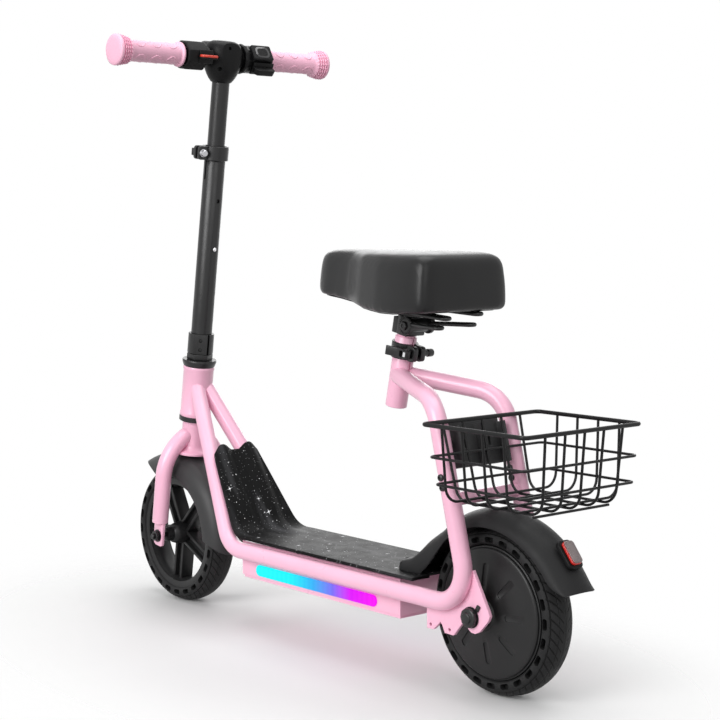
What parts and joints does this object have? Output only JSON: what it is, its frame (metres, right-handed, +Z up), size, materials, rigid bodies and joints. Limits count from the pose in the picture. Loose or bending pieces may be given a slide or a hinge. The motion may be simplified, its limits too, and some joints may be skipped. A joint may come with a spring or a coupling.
{
  "type": "seated electric scooter",
  "caption": "Seated electric kick scooter with bent-tube frame, saddle on a post, wire basket, hub motor, deck battery box with light strips and telescoping stem.",
  "frame": {"origin": "on the ground, under the middle of the overall length, on the plane of symmetry", "axes": "+X forward, +Y to the rider's left, +Z up"},
  "size_m": [1.1082, 0.455, 1.0263],
  "materials": {
    "frame_paint": "satin",
    "black_coat": "satin",
    "black_plastic": "matte",
    "deck_print": "satin, speckled",
    "tyre_rubber": "matte",
    "grip_rubber": "matte",
    "bare_steel": "satin",
    "bright_steel": "polished",
    "rim_alloy": "black coated",
    "light_lens": "gloss",
    "strip_lens": "gloss",
    "red_plastic": "gloss",
    "battery_wrap": "matte",
    "saddle_cover": "smooth"
  },
  "bodies": {
    "frame": {"head_tube": "frame_paint", "headset_upper_cup": "black_coat", "headset_lower_cup": "black_coat", "frame_tube_left": "frame_paint", "frame_tube_right": "frame_paint", "stay_bridge": "frame_paint", "dropout_left": "frame_paint", "dropout_right": "frame_paint", "seat_tube": "frame_paint", "seat_clamp_collar": "black_coat", "seat_clamp_bolt": "bare_steel", "battery_box": "frame_paint", "battery_lid": "frame_paint", "battery_pack": "battery_wrap", "led_strip_left": "strip_lens", "led_strip_right": "strip_lens", "deck_board": "deck_print", "rear_fender": "black_plastic", "tail_light_base": "black_plastic", "tail_light_lens": "light_lens", "basket": "black_coat", "basket_bracket": "black_plastic", "rear_axle": "bare_steel", "rear_axle_nut_left": "black_coat", "rear_axle_nut_right": "black_coat", "motor_stator": "bare_steel"},
    "rear_wheel": {"hub_motor_shell": "rim_alloy", "hub_motor_cover": "rim_alloy", "rear_tyre": "tyre_rubber"},
    "steering": {"fork": "frame_paint", "front_fender": "black_plastic", "headset_locknut": "black_coat", "front_axle": "bare_steel", "front_axle_nut_left": "black_coat", "front_axle_nut_right": "black_coat", "stem_base_clamp": "black_coat", "stem_tube_outer": "black_coat", "stem_clamp_collar": "black_coat", "stem_clamp_bolt": "bare_steel"},
    "front_wheel": {"front_rim": "rim_alloy", "front_tyre": "tyre_rubber"},
    "stem_lever": {"stem_clamp_lever": "black_coat"},
    "stem_button": {"height_button": "bright_steel"},
    "handlebar_assembly": {"stem_tube_inner": "black_coat", "stem_head": "black_plastic", "headlight": "black_plastic", "handlebar": "black_coat", "grip_left": "grip_rubber", "grip_right": "grip_rubber", "brake_pod": "black_plastic", "display_pod": "black_plastic"},
    "brake": {"brake_lever": "red_plastic"},
    "throttle": {"throttle_lever": "black_plastic"},
    "power": {"power_button": "red_plastic"},
    "seat_lever": {"seat_clamp_lever": "black_coat"},
    "seat": {"seat_post": "frame_paint", "saddle_clamp": "black_coat", "saddle_springs": "black_coat", "saddle_base": "black_plastic", "saddle_cushion": "saddle_cover"}
  },
  "joints": [
    {"name": "steering_turn", "type": "hinge", "parent": "frame", "child": "steering", "pos_m": [0.38825, 0, 0.39419], "axis": [-0.144, 0, 0.9896], "range_deg": [-50, 50]},
    {"name": "front_wheel_spin", "type": "hinge", "parent": "steering", "child": "front_wheel", "pos_m": [0.42713, 0, 0.127], "axis": [0, 1, 0], "continuous": true},
    {"name": "rear_wheel_spin", "type": "hinge", "parent": "frame", "child": "rear_wheel", "pos_m": [-0.39387, 0, 0.127], "axis": [0, 1, 0], "continuous": true},
    {"name": "stem_lever_swing", "type": "hinge", "parent": "steering", "child": "stem_lever", "pos_m": [0.34053, 0.03382, 0.82834], "axis": [-0.144, 0, 0.9896], "range_deg": [0, 120]},
    {"name": "height_button_press", "type": "slide", "parent": "steering", "child": "stem_button", "axis": [0.9896, 0, 0.144], "range_m": [0, 0.003], "stiffness_N_per_m": 500, "springref_m": -0.002},
    {"name": "handlebar_height", "type": "slide", "parent": "steering", "child": "handlebar_assembly", "axis": [-0.144, 0, 0.9896], "range_m": [0, 0.087]},
    {"name": "brake_lever_press", "type": "hinge", "parent": "handlebar_assembly", "child": "brake", "pos_m": [0.30118, 0.05, 0.99248], "axis": [0, -1, 0], "range_deg": [0, 25], "stiffness_Nm_per_rad": 0.6, "springref_deg": -8.59},
    {"name": "throttle_press", "type": "hinge", "parent": "handlebar_assembly", "child": "throttle", "pos_m": [0.30118, -0.074, 0.99248], "axis": [0, -1, 0], "range_deg": [0, 30], "stiffness_Nm_per_rad": 0.3, "springref_deg": -11.46},
    {"name": "power_button_press", "type": "slide", "parent": "handlebar_assembly", "child": "power", "axis": [0.7464, 0, -0.6655], "range_m": [0, 0.0015], "stiffness_N_per_m": 400, "springref_m": -0.001},
    {"name": "seat_lever_swing", "type": "hinge", "parent": "frame", "child": "seat_lever", "pos_m": [-0.20079, 0.0198, 0.49583], "axis": [-0.2055, 0, 0.9787], "range_deg": [0, 120]},
    {"name": "seat_height", "type": "slide", "parent": "frame", "child": "seat", "axis": [-0.2055, 0, 0.9787], "range_m": [0, 0.06]}
  ]
}
